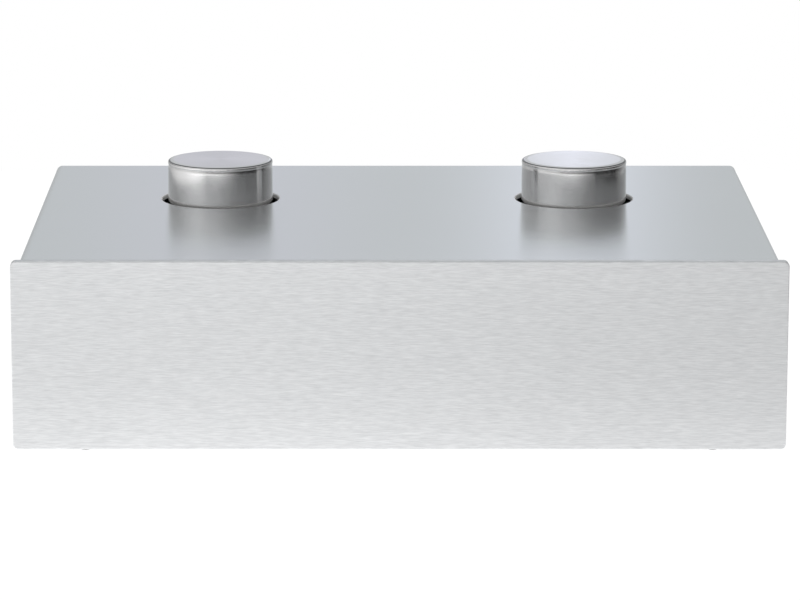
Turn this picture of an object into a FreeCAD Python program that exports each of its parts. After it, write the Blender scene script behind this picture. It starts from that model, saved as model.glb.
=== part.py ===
import FreeCAD, Part
import math
import os

from FreeCAD import Vector

# A step-up transformer box for a moving coil cartridge. All sizes are in millimetres.
# X runs to the right, Y to the back and Z up. The origin is on the floor, under the middle of
# the whole box with its rear sockets.

# Front panel
panel_width = 206.0
panel_height = 51.0
panel_thickness = 3.0
panel_corner_radius = 1.4
panel_edge_radius = 0.25
panel_overhang = 1.4  # the panel stands this far past the cover, all round

# Case of folded sheet
case_depth = 153.0  # from the panel's face to the cover's rear edge
sheet = 1.2
fold_radius = 1.8  # outside radius of every fold
sheet_gap = 0.2  # between the cover and the tray inside it
rear_recess = 1.0  # from the cover's rear edge in to the rear wall
side_lip_height = 14.0
corner_relief = 1.5  # width of the slots that free the tray's folds

# Rubber feet
foot_radius = 5.5
foot_height = 5.3
foot_rim = 1.3  # straight side above the dome
foot_land_radius = 1.8  # the flat that stands on the floor
foot_side_inset = 18.2  # from the panel's ends
foot_end_inset = 17.3  # from the panel's face, and from the cover's rear edge

# Transformers, in round cans that stand up through the cover
can_radius = 15.0
can_wall = 0.8
can_rim_radius = 0.8
can_stand = 11.4  # height above the cover
can_gap = 1.7  # between the can and the edge of its hole
can_offset = 50.7  # from the middle of the box
can_setback = 100.0  # from the panel's face
hole_edge_radius = 0.35
base_height = 5.0  # terminal base that closes the can
core_window = 5.0  # from the centre limb to a side limb
core_stack = 11.6
core_limb = 3.0  # width of the core's yokes and side limbs
core_centre_limb = 6.0
core_headroom = 5.0  # from the core's top to the inside of the can
bobbin_wall = 0.8
bobbin_corner_radius = 1.5
primary_build = 1.3  # thickness of the primary winding
winding_gap = 0.1  # tape between bobbin, primary and secondary
winding_room = 0.6  # from the secondary winding to the core's side limbs
inner_fit = 0.1  # clearance where one piece sits in another
terminal_radius = 0.45
terminal_inset = 1.7  # from the can's inner wall to the circle of terminals
terminal_step = 30.0  # degrees between terminals
terminals_per_row = 4
terminal_rise = 1.5  # above the terminal base
terminal_drop = 1.5  # below the board

# Circuit board
board_thickness = 1.6
board_side_gap = 4.0  # from the tray's side lips to the board
board_front = 44.0  # from the panel's face to the board
board_rear_gap = 9.0  # from the board to the rear wall's face
board_corner_radius = 2.0
standoff_height = 6.0
standoff_flats = 5.5
standoff_side_inset = 5.0  # from the board's edges
standoff_end_inset = 16.0

# Small screws
screw_radius = 1.5
screw_fit = 0.05  # clearance in a threaded hole
screw_pass = 0.15  # clearance in a plain hole
screw_head_radius = 2.85
screw_head_height = 1.35
screw_head_flat = 1.7  # radius of the flat on the head
screw_socket_flats = 2.0
screw_socket_depth = 0.9
screw_bite = 2.0  # length in the second piece
panel_screw_side_inset = 18.0
panel_screw_end_inset = 10.0
cover_screw_height = 8.0  # above the tray's floor
cover_screw_inset = 30.0  # from the panel's face, and from the cover's rear edge
collar_radius = 2.8  # threaded collar formed in the tray's lips
collar_length = 1.2

# Phono sockets
socket_inset = 45.2  # from the tray's sides
socket_pitch = 18.0  # left above right
ring_radius = 6.75
ring_thickness = 1.0
ring_shoulder = 4.8  # radius of the shoulder in the wall
phono_thread_radius = 4.0
phono_flange_radius = 6.5
phono_flange = 2.0
phono_barrel_radius = 4.15
phono_barrel = 10.0
phono_barrel_wall = 0.65
phono_throat_radius = 2.7
phono_mouth_depth = 8.5
phono_recess = 0.8  # from the barrel's end in to the insulator
phono_nut_flats = 11.0
phono_nut = 2.2
phono_thread_spare = 3.0  # thread past the nut
contact_radius = 2.1
contact_bore = 1.6
contact_depth = 9.0
tail_radius = 0.8
tail_length = 4.5
edge_break = 0.3

# Five-pin balanced sockets
balanced_inset = 20.2  # from the tray's sides
balanced_thread_radius = 5.8
balanced_flange_radius = 7.4
balanced_flange = 2.0
balanced_bore = 4.7
balanced_body = 10.5  # behind the wall's face
balanced_insert = 4.0
balanced_nut_flats = 14.0
balanced_nut = 2.0
balanced_pins = 5
balanced_pin_circle = 2.4
balanced_pin_radius = 0.5
balanced_pin_length = 6.0
balanced_cup_length = 3.0
key_width = 1.4
key_height = 0.7

# Toggle switches
toggle_offset = 25.0  # from the middle of the box
toggle_width = 7.0
toggle_height = 13.0
toggle_body = 9.5
bushing_radius = 3.0
bushing_reach = 4.6  # outside the wall
toggle_nut_flats = 8.0
toggle_nut = 2.0
pivot_depth = 2.6  # from the bushing's end in to the lever's ball
ball_radius = 2.15
ball_fit = 0.1
lever_length = 8.6  # from the ball's centre
lever_root_radius = 1.05
lever_tip_radius = 1.45
stub_length = 2.4
stub_radius = 0.8
lever_tilt = 12.0  # degrees, down at rest
lug_pitch = 4.0
lug_width = 1.8
lug_thickness = 0.6
lug_length = 3.5

# Ground terminal
post_radius = 2.0
post_reach = 12.8  # outside the wall
post_tail = 4.0  # past the inner nut
bush_radius = 5.5
bush_thickness = 1.2
bush_shoulder = 3.4
post_collar_radius = 4.5
post_collar = 1.5
post_fit = 0.05
clamp_radius = 4.5
clamp_thickness = 0.8
thumb_radius = 5.0
thumb_length = 6.0
thumb_grip = 4.2  # length of the knurled band
thumb_hub_radius = 3.9
thumb_flutes = 24
flute_radius = 0.35
post_nut_flats = 7.0
post_nut = 2.4

# Leads inside the case, and the board's resistors
signal_lead_radius = 1.2
balanced_lead_radius = 1.6
switch_lead_radius = 0.5
lead_bend = 3.2
lead_run = 2.0  # straight run before the bend, for the lowest lead of a stack
lead_step = 4.0  # longer run for each lead above it
resistor_radius = 1.2
resistor_length = 6.5
resistor_lead_radius = 0.3
resistor_lead_span = 10.0
resistor_pitch = 7.0
resistor_setback = 58.0
resistors_per_channel = 2

# How far a cutting tool runs past a face
past = 1.0

# Places worked out from the sizes above
wall_to_barrel_end = ring_thickness + phono_flange + phono_barrel
panel_face = -(case_depth - rear_recess + wall_to_barrel_end) / 2
panel_back = panel_face + panel_thickness
cover_rear = panel_face + case_depth
rear_wall = cover_rear - rear_recess
tray_bottom = foot_height
tray_floor = tray_bottom + sheet
panel_bottom = tray_bottom - panel_overhang
panel_top = panel_bottom + panel_height
cover_top = panel_top - panel_overhang
cover_half = panel_width / 2 - panel_overhang
tray_half = cover_half - sheet - sheet_gap
tray_top = cover_top - sheet - sheet_gap
inner_fold_radius = max(fold_radius - sheet, 0.1)
board_half = tray_half - sheet - board_side_gap
board_edge_front = panel_face + board_front
board_edge_rear = rear_wall - board_rear_gap
board_bottom = tray_floor + standoff_height
board_top = board_bottom + board_thickness
can_top = cover_top + can_stand
can_y = panel_face + can_setback
core_floor = board_top + base_height
core_top = can_top - can_wall - core_headroom
can_bore = can_radius - can_wall
core_half_width = core_centre_limb / 2 + core_window + core_limb
secondary_build = core_window - inner_fit - bobbin_wall - 2 * winding_gap - primary_build - winding_room
socket_row = (tray_bottom + cover_top) / 2
socket_offset = tray_half - socket_inset
balanced_offset = tray_half - balanced_inset
phono_mouth_radius = phono_barrel_radius - phono_barrel_wall
bushing_bore = ball_radius + ball_fit

left_and_right = {"left": -1, "right": 1}


def box(x_span, y_span, z_span):
    size = [high - low for low, high in (x_span, y_span, z_span)]
    return Part.makeBox(*size, Vector(x_span[0], y_span[0], z_span[0]))


def block(half_width, half_depth, low, high):
    return box((-half_width, half_width), (-half_depth, half_depth), (low, high))


def cylinder(radius, low, high, x=0.0, y=0.0):
    return Part.makeCylinder(radius, high - low, Vector(x, y, low))


def tube(outer, inner, low, high, x=0.0, y=0.0):
    return cylinder(outer, low, high, x, y).cut(cylinder(inner, low - past, high + past, x, y))


def hexagon(across_flats, low, high):
    corner = across_flats / math.sqrt(3)
    angles = [math.radians(60 * side) for side in range(7)]
    points = [Vector(corner * math.cos(a), corner * math.sin(a), low) for a in angles]
    return Part.Face(Part.makePolygon(points)).extrude(Vector(0, 0, high - low))


def hexagon_nut(across_flats, bore, low, high):
    blank = cylinder(across_flats / math.sqrt(3), low, high)
    crowns = round_edges_at(blank, low) + round_edges_at(blank, high)
    blank = blank.makeChamfer(min(edge_break, (high - low) / 3), crowns)
    nut = hexagon(across_flats, low, high).common(blank)
    return nut.cut(cylinder(bore, low - past, high + past))


def turned(points):
    """A solid of revolution from (radius, height) points, closed from the last to the first."""
    corners = [Vector(radius, 0, height) for radius, height in points]
    outline = Part.makePolygon(corners + corners[:1])
    return Part.Face(outline).revolve(Vector(0, 0, 0), Vector(0, 0, 1), 360)


def domed(base_radius, rim, flat_radius, height):
    """A round button: a straight rim, then an arc in to a flat top."""
    rise = height - rim
    centre = rim + (flat_radius ** 2 + rise ** 2 - base_radius ** 2) / (2 * rise)
    sphere = math.hypot(base_radius, centre - rim)
    start = math.atan2(rim - centre, base_radius)
    end = math.atan2(height - centre, flat_radius)
    middle = (start + end) / 2
    crest = Vector(sphere * math.cos(middle), 0, centre + sphere * math.sin(middle))
    foot, shoulder = Vector(base_radius, 0, 0), Vector(base_radius, 0, rim)
    top, peak = Vector(flat_radius, 0, height), Vector(0, 0, height)
    edges = [
        Part.makeLine(Vector(0, 0, 0), foot),
        Part.makeLine(foot, shoulder),
        Part.Arc(shoulder, crest, top).toShape(),
        Part.makeLine(top, peak),
        Part.makeLine(peak, Vector(0, 0, 0)),
    ]
    return Part.Face(Part.Wire(edges)).revolve(Vector(0, 0, 0), Vector(0, 0, 1), 360)


def cut_all(shape, tools):
    for tool in tools:
        shape = shape.cut(tool)
    return shape


def join_all(shape, others):
    for other in others:
        shape = shape.fuse(other)
    return shape.removeSplitter()


def edges_along(shape, direction, test):
    """Straight edges along a direction whose middle passes the test."""
    found = []
    for edge in shape.Edges:
        ends = [vertex.Point for vertex in edge.Vertexes]
        if len(ends) == 2 and edge.Curve.TypeId == "Part::GeomLine":
            run = (ends[1] - ends[0]).normalize()
            if abs(run.dot(direction)) > 0.999 and test((ends[0] + ends[1]) * 0.5):
                found.append(edge)
    return found


def round_edges_at(shape, height):
    """Whole circles of a solid that lie at a height."""
    return [edge for edge in shape.Edges if edge.Closed and abs(edge.BoundBox.Center.z - height) < 0.01]


def moved(shape, place, facing=Vector(0, 0, 1)):
    """A copy with its +Z turned to a direction and its origin carried to a place."""
    copy = shape.copy()
    turn = FreeCAD.Rotation(Vector(0, 0, 1), facing)
    copy.Placement = FreeCAD.Placement(place, turn).multiply(copy.Placement)
    return copy


def on_rear_wall(shape, x, z):
    """A piece whose +Z is turned to point out of the rear wall, which turns its +Y down."""
    return moved(shape, Vector(x, rear_wall, z), Vector(0, 1, 0))


def save(node, *shapes):
    """One piece, or a group of like pieces, as one file."""
    solids = [solid for shape in shapes for solid in shape.Solids]
    for solid in solids:
        if not solid.isValid() or solid.Volume <= 0:
            raise ValueError("bad solid in " + node)
    piece = solids[0] if len(solids) == 1 else Part.makeCompound(solids)
    piece.exportStep("parts/" + node + ".step")


def screw(length):
    """A button-head screw, its head above Z = 0 and its shank below."""
    head = domed(screw_head_radius, screw_head_height / 4, screw_head_flat, screw_head_height)
    socket = hexagon(screw_socket_flats, screw_head_height - screw_socket_depth, screw_head_height + past)
    return head.cut(socket).fuse(cylinder(screw_radius, -length, 0)).removeSplitter()


def folded_channel(half, depth_span, low, high):
    """A U of sheet that runs along Y, open at the top, with rounded folds."""

    def rounded(half_width, bottom, radius):
        solid = box((-half_width, half_width), depth_span, (bottom, high))
        folds = edges_along(solid, Vector(0, 1, 0), lambda middle: abs(middle.z - bottom) < 0.01)
        return solid.makeFillet(radius, folds)

    return rounded(half, low, fold_radius).cut(rounded(half - sheet, low + sheet, inner_fold_radius))


def panel_screw_places():
    x = panel_width / 2 - panel_screw_side_inset
    z_low = panel_bottom + panel_screw_end_inset
    z_high = panel_top - panel_screw_end_inset
    return [Vector(side * x, panel_back, z) for side in (-1, 1) for z in (z_low, z_high)]


def cover_screw_places():
    z = tray_floor + cover_screw_height
    y_front = panel_face + cover_screw_inset
    y_rear = cover_rear - cover_screw_inset
    return [(side, Vector(side * cover_half, y, z)) for side in (-1, 1) for y in (y_front, y_rear)]


def standoff_places():
    x = board_half - standoff_side_inset
    y_front = board_edge_front + standoff_end_inset
    y_rear = board_edge_rear - standoff_end_inset
    return [(side * x, y) for side in (-1, 1) for y in (y_front, y_rear)]


def rear_holes():
    """Radius and place of each round hole in the rear wall."""
    holes = []
    for side in (-1, 1):
        holes += [(ring_shoulder + inner_fit, side * socket_offset, z) for z in socket_heights()]
        holes.append((balanced_thread_radius + inner_fit, side * balanced_offset, socket_row))
        holes.append((bushing_radius + inner_fit, side * toggle_offset, socket_row))
    holes.append((bush_shoulder + inner_fit, 0.0, socket_row))
    return holes


def socket_heights():
    return (socket_row - socket_pitch / 2, socket_row + socket_pitch / 2)


def front_panel():
    plate = box((-panel_width / 2, panel_width / 2), (panel_face, panel_back), (panel_bottom, panel_top))
    corners = edges_along(plate, Vector(0, 1, 0), lambda middle: True)
    plate = plate.makeFillet(panel_corner_radius, corners)
    rims = [edge for edge in plate.Edges if edge.BoundBox.YLength < 0.01]
    plate = plate.makeFillet(min(panel_edge_radius, panel_thickness / 3), rims)
    blind_hole = cylinder(screw_radius + screw_fit, -screw_bite - inner_fit, past)
    return cut_all(plate, [moved(blind_hole, place, Vector(0, 1, 0)) for place in panel_screw_places()])


def top_cover():
    upright = folded_channel(cover_half, (panel_back, cover_rear), 0.0, cover_top - tray_bottom)
    cover = upright.mirror(Vector(0, 0, 0), Vector(0, 0, 1))
    cover.translate(Vector(0, 0, cover_top))
    can_hole = cylinder(can_radius + can_gap, cover_top - sheet - past, cover_top + past)
    cover = cut_all(cover, [moved(can_hole, Vector(side * can_offset, can_y, 0)) for side in (-1, 1)])
    cover = cover.makeFillet(min(hole_edge_radius, sheet / 3), round_edges_at(cover, cover_top))
    hole = cylinder(screw_radius + screw_pass, -sheet - past, past)
    return cut_all(cover, [moved(hole, place, Vector(side, 0, 0)) for side, place in cover_screw_places()])


def base_tray():
    # The floor, front flange and rear wall are one channel across the box.
    length = rear_wall - panel_back
    across = folded_channel(length / 2, (-tray_half, tray_half), tray_bottom, tray_top)
    across.rotate(Vector(0, 0, 0), Vector(0, 0, 1), 90)
    across.translate(Vector(0, (panel_back + rear_wall) / 2, 0))
    # The side lips are a lower channel along it, free of the walls at the four corners.
    lip_start = panel_back + fold_radius + corner_relief
    lip_end = rear_wall - fold_radius - corner_relief
    along = folded_channel(tray_half, (lip_start, lip_end), tray_bottom, tray_bottom + side_lip_height)
    fold_start = panel_back + fold_radius
    fold_end = rear_wall - fold_radius
    for side in (-1, 1):
        edge = sorted((side * (tray_half - fold_radius), side * (tray_half + past)))
        across = across.cut(box(edge, (fold_start, fold_end), (tray_bottom - past, tray_floor + past)))
    tray = join_all(across, [along])

    tools = []
    collars = []
    for side, place in cover_screw_places():
        inner = Vector(side * (tray_half - sheet), place.y, place.z)
        collars.append(moved(cylinder(collar_radius, -collar_length, 0), inner, Vector(side, 0, 0)))
        bore = cylinder(screw_radius + screw_fit, -collar_length - past, sheet + past)
        tools.append(moved(bore, inner, Vector(side, 0, 0)))
    for place in panel_screw_places():
        hole = cylinder(screw_radius + screw_pass, -past, sheet + past)
        tools.append(moved(hole, place, Vector(0, 1, 0)))
    for x, y in standoff_places():
        tools.append(cylinder(screw_radius + screw_pass, tray_bottom - past, tray_floor + past, x, y))
    for radius, x, z in rear_holes():
        tools.append(on_rear_wall(cylinder(radius, -sheet - past, past), x, z))
    return cut_all(join_all(tray, collars), tools)


def foot():
    dome = domed(foot_radius, foot_rim, foot_land_radius, foot_height)
    return dome.mirror(Vector(0, 0, 0), Vector(0, 0, 1))


def terminal_places(centre_x, centre_y):
    """Two arcs of terminals, before and behind the middle of a can."""
    circle = can_bore - terminal_inset
    places = []
    for row in (-1, 1):
        for number in range(terminals_per_row):
            angle = math.radians(terminal_step * (number - (terminals_per_row - 1) / 2))
            places.append((centre_x + circle * math.sin(angle), centre_y + row * circle * math.cos(angle)))
    return places


def resistor_places():
    places = []
    for side in (-1, 1):
        for number in range(resistors_per_channel):
            places.append((side * can_offset, panel_face + resistor_setback + number * resistor_pitch))
    return places


def main_board():
    board = box((-board_half, board_half), (board_edge_front, board_edge_rear), (board_bottom, board_top))
    board = board.makeFillet(board_corner_radius, edges_along(board, Vector(0, 0, 1), lambda middle: True))
    holes = [(screw_radius + screw_pass, x, y) for x, y in standoff_places()]
    for side in (-1, 1):
        holes.append((screw_radius + screw_pass, side * can_offset, can_y))
        holes += [(terminal_radius + inner_fit, x, y) for x, y in terminal_places(side * can_offset, can_y)]
    for x, y in resistor_places():
        for end in (-1, 1):
            holes.append((resistor_lead_radius + inner_fit, x + end * resistor_lead_span / 2, y))
    tools = [cylinder(radius, board_bottom - past, board_top + past, x, y) for radius, x, y in holes]
    return cut_all(board, tools)


def standoff():
    post = hexagon(standoff_flats, tray_floor, board_bottom)
    return post.cut(cylinder(screw_radius + screw_fit, tray_floor - past, board_bottom + past))


def transformer_can():
    shell = cylinder(can_radius, board_top, can_top)
    shell = shell.makeFillet(can_rim_radius, round_edges_at(shell, can_top))
    hollow = cylinder(can_bore, board_top - past, can_top - can_wall)
    return shell.cut(hollow.makeFillet(can_rim_radius, round_edges_at(hollow, can_top - can_wall)))


def transformer_core():
    stack = block(core_half_width, core_stack / 2, core_floor, core_top)
    inner = core_centre_limb / 2
    outer = core_half_width - core_limb
    for side in (-1, 1):
        span = sorted((side * inner, side * outer))
        window = box(span, (-core_stack, core_stack), (core_floor + core_limb, core_top - core_limb))
        stack = stack.cut(window)
    return stack


def around_centre_limb(inside, build, low, high, corner):
    """A sleeve round the centre limb, a given distance from it, with rounded outer corners."""
    half_x = core_centre_limb / 2 + inside
    half_y = core_stack / 2 + inside
    outer = block(half_x + build, half_y + build, low, high)
    outer = outer.makeFillet(min(corner, build), edges_along(outer, Vector(0, 0, 1), lambda middle: True))
    return outer.cut(block(half_x, half_y, low - past, high + past))


def bobbin():
    low = core_floor + core_limb + inner_fit
    high = core_top - core_limb - inner_fit
    reach = bobbin_wall + 2 * winding_gap + primary_build + secondary_build
    tube_wall = around_centre_limb(inner_fit, bobbin_wall, low, high, bobbin_wall / 2)
    flanges = [
        around_centre_limb(inner_fit, reach, low, low + bobbin_wall, bobbin_corner_radius),
        around_centre_limb(inner_fit, reach, high - bobbin_wall, high, bobbin_corner_radius),
    ]
    return join_all(tube_wall, flanges)


def winding(inside, build):
    """Turns of fine wire as one closed sleeve."""
    low = core_floor + core_limb + bobbin_wall + inner_fit + winding_gap
    high = core_top - core_limb - bobbin_wall - inner_fit - winding_gap
    return around_centre_limb(inside, build, low, high, build / 2)


def primary_winding():
    return winding(inner_fit + bobbin_wall + winding_gap, primary_build)


def secondary_winding():
    inside = inner_fit + bobbin_wall + winding_gap + primary_build + winding_gap
    return winding(inside, secondary_build)


def terminal_base():
    disc = cylinder(can_bore - inner_fit, board_top, core_floor)
    thread = cylinder(screw_radius + screw_fit, board_top - past, board_top + screw_bite + inner_fit)
    tools = [thread]
    for x, y in terminal_places(0, 0):
        tools.append(cylinder(terminal_radius + inner_fit / 2, board_top - past, core_floor + past, x, y))
    return cut_all(disc, tools)


def terminal_pins(side):
    low = board_bottom - terminal_drop
    high = core_floor + terminal_rise
    return [cylinder(terminal_radius, low, high, x, y) for x, y in terminal_places(side * can_offset, can_y)]


def phono_depth():
    """How far a phono socket's thread reaches in from the wall's face."""
    return sheet + ring_thickness + phono_nut + phono_thread_spare


def phono_shell():
    base = ring_thickness
    shoulder = base + phono_flange
    end = wall_to_barrel_end
    step = end - phono_mouth_depth
    return turned([
        (phono_throat_radius, -phono_depth()),
        (phono_thread_radius, -phono_depth()),
        (phono_thread_radius, base),
        (phono_flange_radius - edge_break, base),
        (phono_flange_radius, base + edge_break),
        (phono_flange_radius, shoulder - edge_break),
        (phono_flange_radius - edge_break, shoulder),
        (phono_barrel_radius, shoulder),
        (phono_barrel_radius, end - edge_break),
        (phono_barrel_radius - edge_break, end),
        (phono_mouth_radius, end),
        (phono_mouth_radius, step),
        (phono_throat_radius, step),
    ])


def phono_insulator():
    end = wall_to_barrel_end - phono_recess
    step = wall_to_barrel_end - phono_mouth_depth
    bore = contact_radius + post_fit
    return turned([
        (bore, -phono_depth()),
        (phono_throat_radius - post_fit, -phono_depth()),
        (phono_throat_radius - post_fit, step),
        (phono_mouth_radius - post_fit, step),
        (phono_mouth_radius - post_fit, end),
        (bore, end),
    ])


def phono_contact():
    end = wall_to_barrel_end - phono_recess
    back = -phono_depth()
    return turned([
        (0, back - tail_length),
        (tail_radius, back - tail_length),
        (tail_radius, back),
        (contact_radius, back),
        (contact_radius, end),
        (contact_bore, end),
        (contact_bore, end - contact_depth),
        (0, end - contact_depth),
    ])


def phono_rings():
    bore = phono_thread_radius + post_fit
    outer = turned([
        (bore, -sheet),
        (ring_shoulder, -sheet),
        (ring_shoulder, 0),
        (ring_radius, 0),
        (ring_radius, ring_thickness),
        (bore, ring_thickness),
    ])
    inner = tube(ring_radius, bore, -sheet - ring_thickness, -sheet)
    return [outer, inner]


def phono_nut_piece():
    high = -sheet - ring_thickness
    return hexagon_nut(phono_nut_flats, phono_thread_radius + post_fit, high - phono_nut, high)


def balanced_shell():
    barrel = tube(balanced_thread_radius, balanced_bore, -balanced_body, balanced_flange)
    flange = turned([
        (balanced_bore, 0),
        (balanced_flange_radius, 0),
        (balanced_flange_radius, balanced_flange - edge_break),
        (balanced_flange_radius - edge_break, balanced_flange),
        (balanced_bore, balanced_flange),
    ])
    key_low = balanced_insert - balanced_body
    key = box(
        (-key_width / 2, key_width / 2),
        (-balanced_bore - edge_break, key_height - balanced_bore),
        (key_low, balanced_flange - edge_break),
    )
    return join_all(barrel, [flange, key])


def balanced_pin_places():
    places = []
    for number in range(balanced_pins):
        angle = 2 * math.pi * (number + 0.5) / balanced_pins - math.pi / 2
        places.append((balanced_pin_circle * math.cos(angle), balanced_pin_circle * math.sin(angle)))
    return places


def balanced_insert_piece():
    insert = cylinder(balanced_bore - post_fit, -balanced_body, balanced_insert - balanced_body)
    holes = [
        cylinder(balanced_pin_radius + post_fit, -balanced_body - past, past, x, y)
        for x, y in balanced_pin_places()
    ]
    return cut_all(insert, holes)


def balanced_pin_set():
    face = balanced_insert - balanced_body
    low = -balanced_body - balanced_cup_length
    high = face + balanced_pin_length
    return [cylinder(balanced_pin_radius, low, high, x, y) for x, y in balanced_pin_places()]


def balanced_nut_piece():
    return hexagon_nut(balanced_nut_flats, balanced_thread_radius + post_fit, -sheet - balanced_nut, -sheet)


def toggle_housing():
    return block(toggle_width / 2, toggle_height / 2, -sheet - toggle_body, -sheet)


def toggle_bushing():
    return tube(bushing_radius, bushing_bore, -sheet, bushing_reach)


def toggle_lever():
    """The ball and bat of a switch, upright, with the ball's centre at the origin."""
    ball = Part.makeSphere(ball_radius)
    tip_centre = lever_length - lever_tip_radius
    bat = turned([(0, 0), (lever_root_radius, 0), (lever_tip_radius, tip_centre), (0, tip_centre)])
    tip = Part.makeSphere(lever_tip_radius, Vector(0, 0, tip_centre))
    stub = cylinder(stub_radius, -stub_length, 0)
    return join_all(ball, [bat, tip, stub])


def placed_lever(side):
    lever = toggle_lever()
    lever.rotate(Vector(0, 0, 0), Vector(1, 0, 0), -lever_tilt)
    lever = moved(lever, Vector(0, 0, bushing_reach - pivot_depth))
    return on_rear_wall(lever, side * toggle_offset, socket_row)


def toggle_lugs():
    low = -sheet - toggle_body - lug_length
    lugs = []
    for number in (-1, 0, 1):
        lug = block(lug_width / 2, lug_thickness / 2, low, -sheet - toggle_body)
        lug.translate(Vector(0, number * lug_pitch, 0))
        lugs.append(lug)
    return lugs


def toggle_nut_piece():
    return hexagon_nut(toggle_nut_flats, bushing_radius + post_fit, 0, toggle_nut)


def ground_back():
    """The inner face of the ground terminal's hexagon nut."""
    return -sheet - bush_thickness - post_nut


def ground_post():
    seat = bush_thickness + post_collar
    return turned([
        (0, ground_back() - post_tail),
        (post_radius, ground_back() - post_tail),
        (post_radius, bush_thickness),
        (post_collar_radius, bush_thickness),
        (post_collar_radius, seat),
        (post_radius, seat),
        (post_radius, post_reach - edge_break),
        (post_radius - edge_break, post_reach),
        (0, post_reach),
    ])


def ground_bushes():
    bore = post_radius + post_fit
    outer = turned([
        (bore, -sheet),
        (bush_shoulder, -sheet),
        (bush_shoulder, 0),
        (bush_radius, 0),
        (bush_radius, bush_thickness),
        (bore, bush_thickness),
    ])
    return [outer, tube(bush_radius, bore, -sheet - bush_thickness, -sheet)]


def ground_nut():
    return hexagon_nut(post_nut_flats, post_radius + post_fit, ground_back(), ground_back() + post_nut)


def clamp_washer():
    seat = bush_thickness + post_collar
    return tube(clamp_radius, post_radius + post_fit, seat, seat + clamp_thickness)


def thumb_nut():
    low = bush_thickness + post_collar + clamp_thickness
    neck = low + thumb_length - thumb_grip
    high = low + thumb_length
    bore = post_radius + post_fit
    body = turned([
        (bore, low),
        (thumb_hub_radius, low),
        (thumb_hub_radius, neck),
        (thumb_radius - edge_break, neck),
        (thumb_radius, neck + edge_break),
        (thumb_radius, high - edge_break),
        (thumb_radius - edge_break, high),
        (bore, high),
    ])
    flutes = []
    for number in range(thumb_flutes):
        angle = 2 * math.pi * number / thumb_flutes
        x, y = thumb_radius * math.cos(angle), thumb_radius * math.sin(angle)
        flutes.append(cylinder(flute_radius, neck - past, high + past, x, y))
    return cut_all(body, flutes)


def lead(x, z, start, run, radius):
    """A lead that runs forward from a terminal, bends once and drops onto the board."""
    bend_start = Vector(x, start - run, z)
    bend_end = bend_start - Vector(0, lead_bend, lead_bend)
    slant = lead_bend * math.sin(math.pi / 4)
    bend_middle = bend_end + Vector(0, lead_bend - slant, slant)
    beginning = Vector(x, start, z)
    path = Part.Wire([
        Part.makeLine(beginning, bend_start),
        Part.Arc(bend_start, bend_middle, bend_end).toShape(),
        Part.makeLine(bend_end, Vector(x, bend_end.y, board_top)),
    ])
    section = Part.Wire([Part.makeCircle(radius, beginning, Vector(0, 1, 0))])
    return path.makePipeShell([section], True, False)


def socket_leads(side):
    """Two phono leads and one balanced lead, on one side of the box."""
    tail_end = rear_wall - phono_depth() - tail_length
    cup_end = rear_wall - balanced_body - balanced_cup_length
    leads = [
        lead(side * socket_offset, z, tail_end, lead_run + number * lead_step, signal_lead_radius)
        for number, z in enumerate(socket_heights())
    ]
    leads.append(lead(side * balanced_offset, socket_row, cup_end, lead_run, balanced_lead_radius))
    return leads


def switch_leads():
    """Three leads from each switch, and one from the ground post."""
    lug_end = rear_wall - sheet - toggle_body - lug_length
    leads = []
    for side in (-1, 1):
        for number in range(3):
            z = socket_row + (number - 1) * lug_pitch
            run = lead_run + number * lead_step
            leads.append(lead(side * toggle_offset, z, lug_end, run, switch_lead_radius))
    post_end = rear_wall + ground_back() - post_tail
    leads.append(lead(0, socket_row, post_end, lead_run, signal_lead_radius))
    return leads


def resistor(x, y):
    z = board_top + resistor_radius
    half = resistor_length / 2
    body = moved(cylinder(resistor_radius, -half, half), Vector(x, y, z), Vector(1, 0, 0))
    reach = resistor_lead_span / 2
    wire = moved(cylinder(resistor_lead_radius, -reach, reach), Vector(x, y, z), Vector(1, 0, 0))
    legs = []
    for end in (-1, 1):
        legs.append(Part.makeSphere(resistor_lead_radius, Vector(x + end * reach, y, z)))
        legs.append(cylinder(resistor_lead_radius, board_bottom, z, x + end * reach, y))
    return join_all(body, [wire] + legs)


def save_case():
    save("front_panel", front_panel())
    save("top_cover", top_cover())
    save("base_tray", base_tray())
    panel_screw = moved(screw(sheet + screw_bite), Vector(0, 0, sheet))
    save("panel_screws", *[moved(panel_screw, place, Vector(0, 1, 0)) for place in panel_screw_places()])
    cover_screw = screw(sheet + sheet_gap + sheet + collar_length)
    save(
        "cover_screws",
        *[moved(cover_screw, place, Vector(side, 0, 0)) for side, place in cover_screw_places()],
    )
    x = panel_width / 2 - foot_side_inset
    rows = {"front": panel_face + foot_end_inset, "rear": cover_rear - foot_end_inset}
    for row, y in rows.items():
        for hand, side in left_and_right.items():
            save("foot_" + row + "_" + hand, moved(foot(), Vector(side * x, y, foot_height)))


def save_board():
    save("main_board", main_board())
    post = standoff()
    save("board_standoffs", *[moved(post, Vector(x, y, 0)) for x, y in standoff_places()])
    upper = screw(board_thickness + screw_bite)
    lower = screw(sheet + screw_bite)
    screws = []
    for x, y in standoff_places():
        screws.append(moved(upper, Vector(x, y, board_top)))
        screws.append(moved(lower, Vector(x, y, tray_bottom), Vector(0, 0, -1)))
    save("board_screws", *screws)
    save("load_resistors", *[resistor(x, y) for x, y in resistor_places()])


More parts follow.
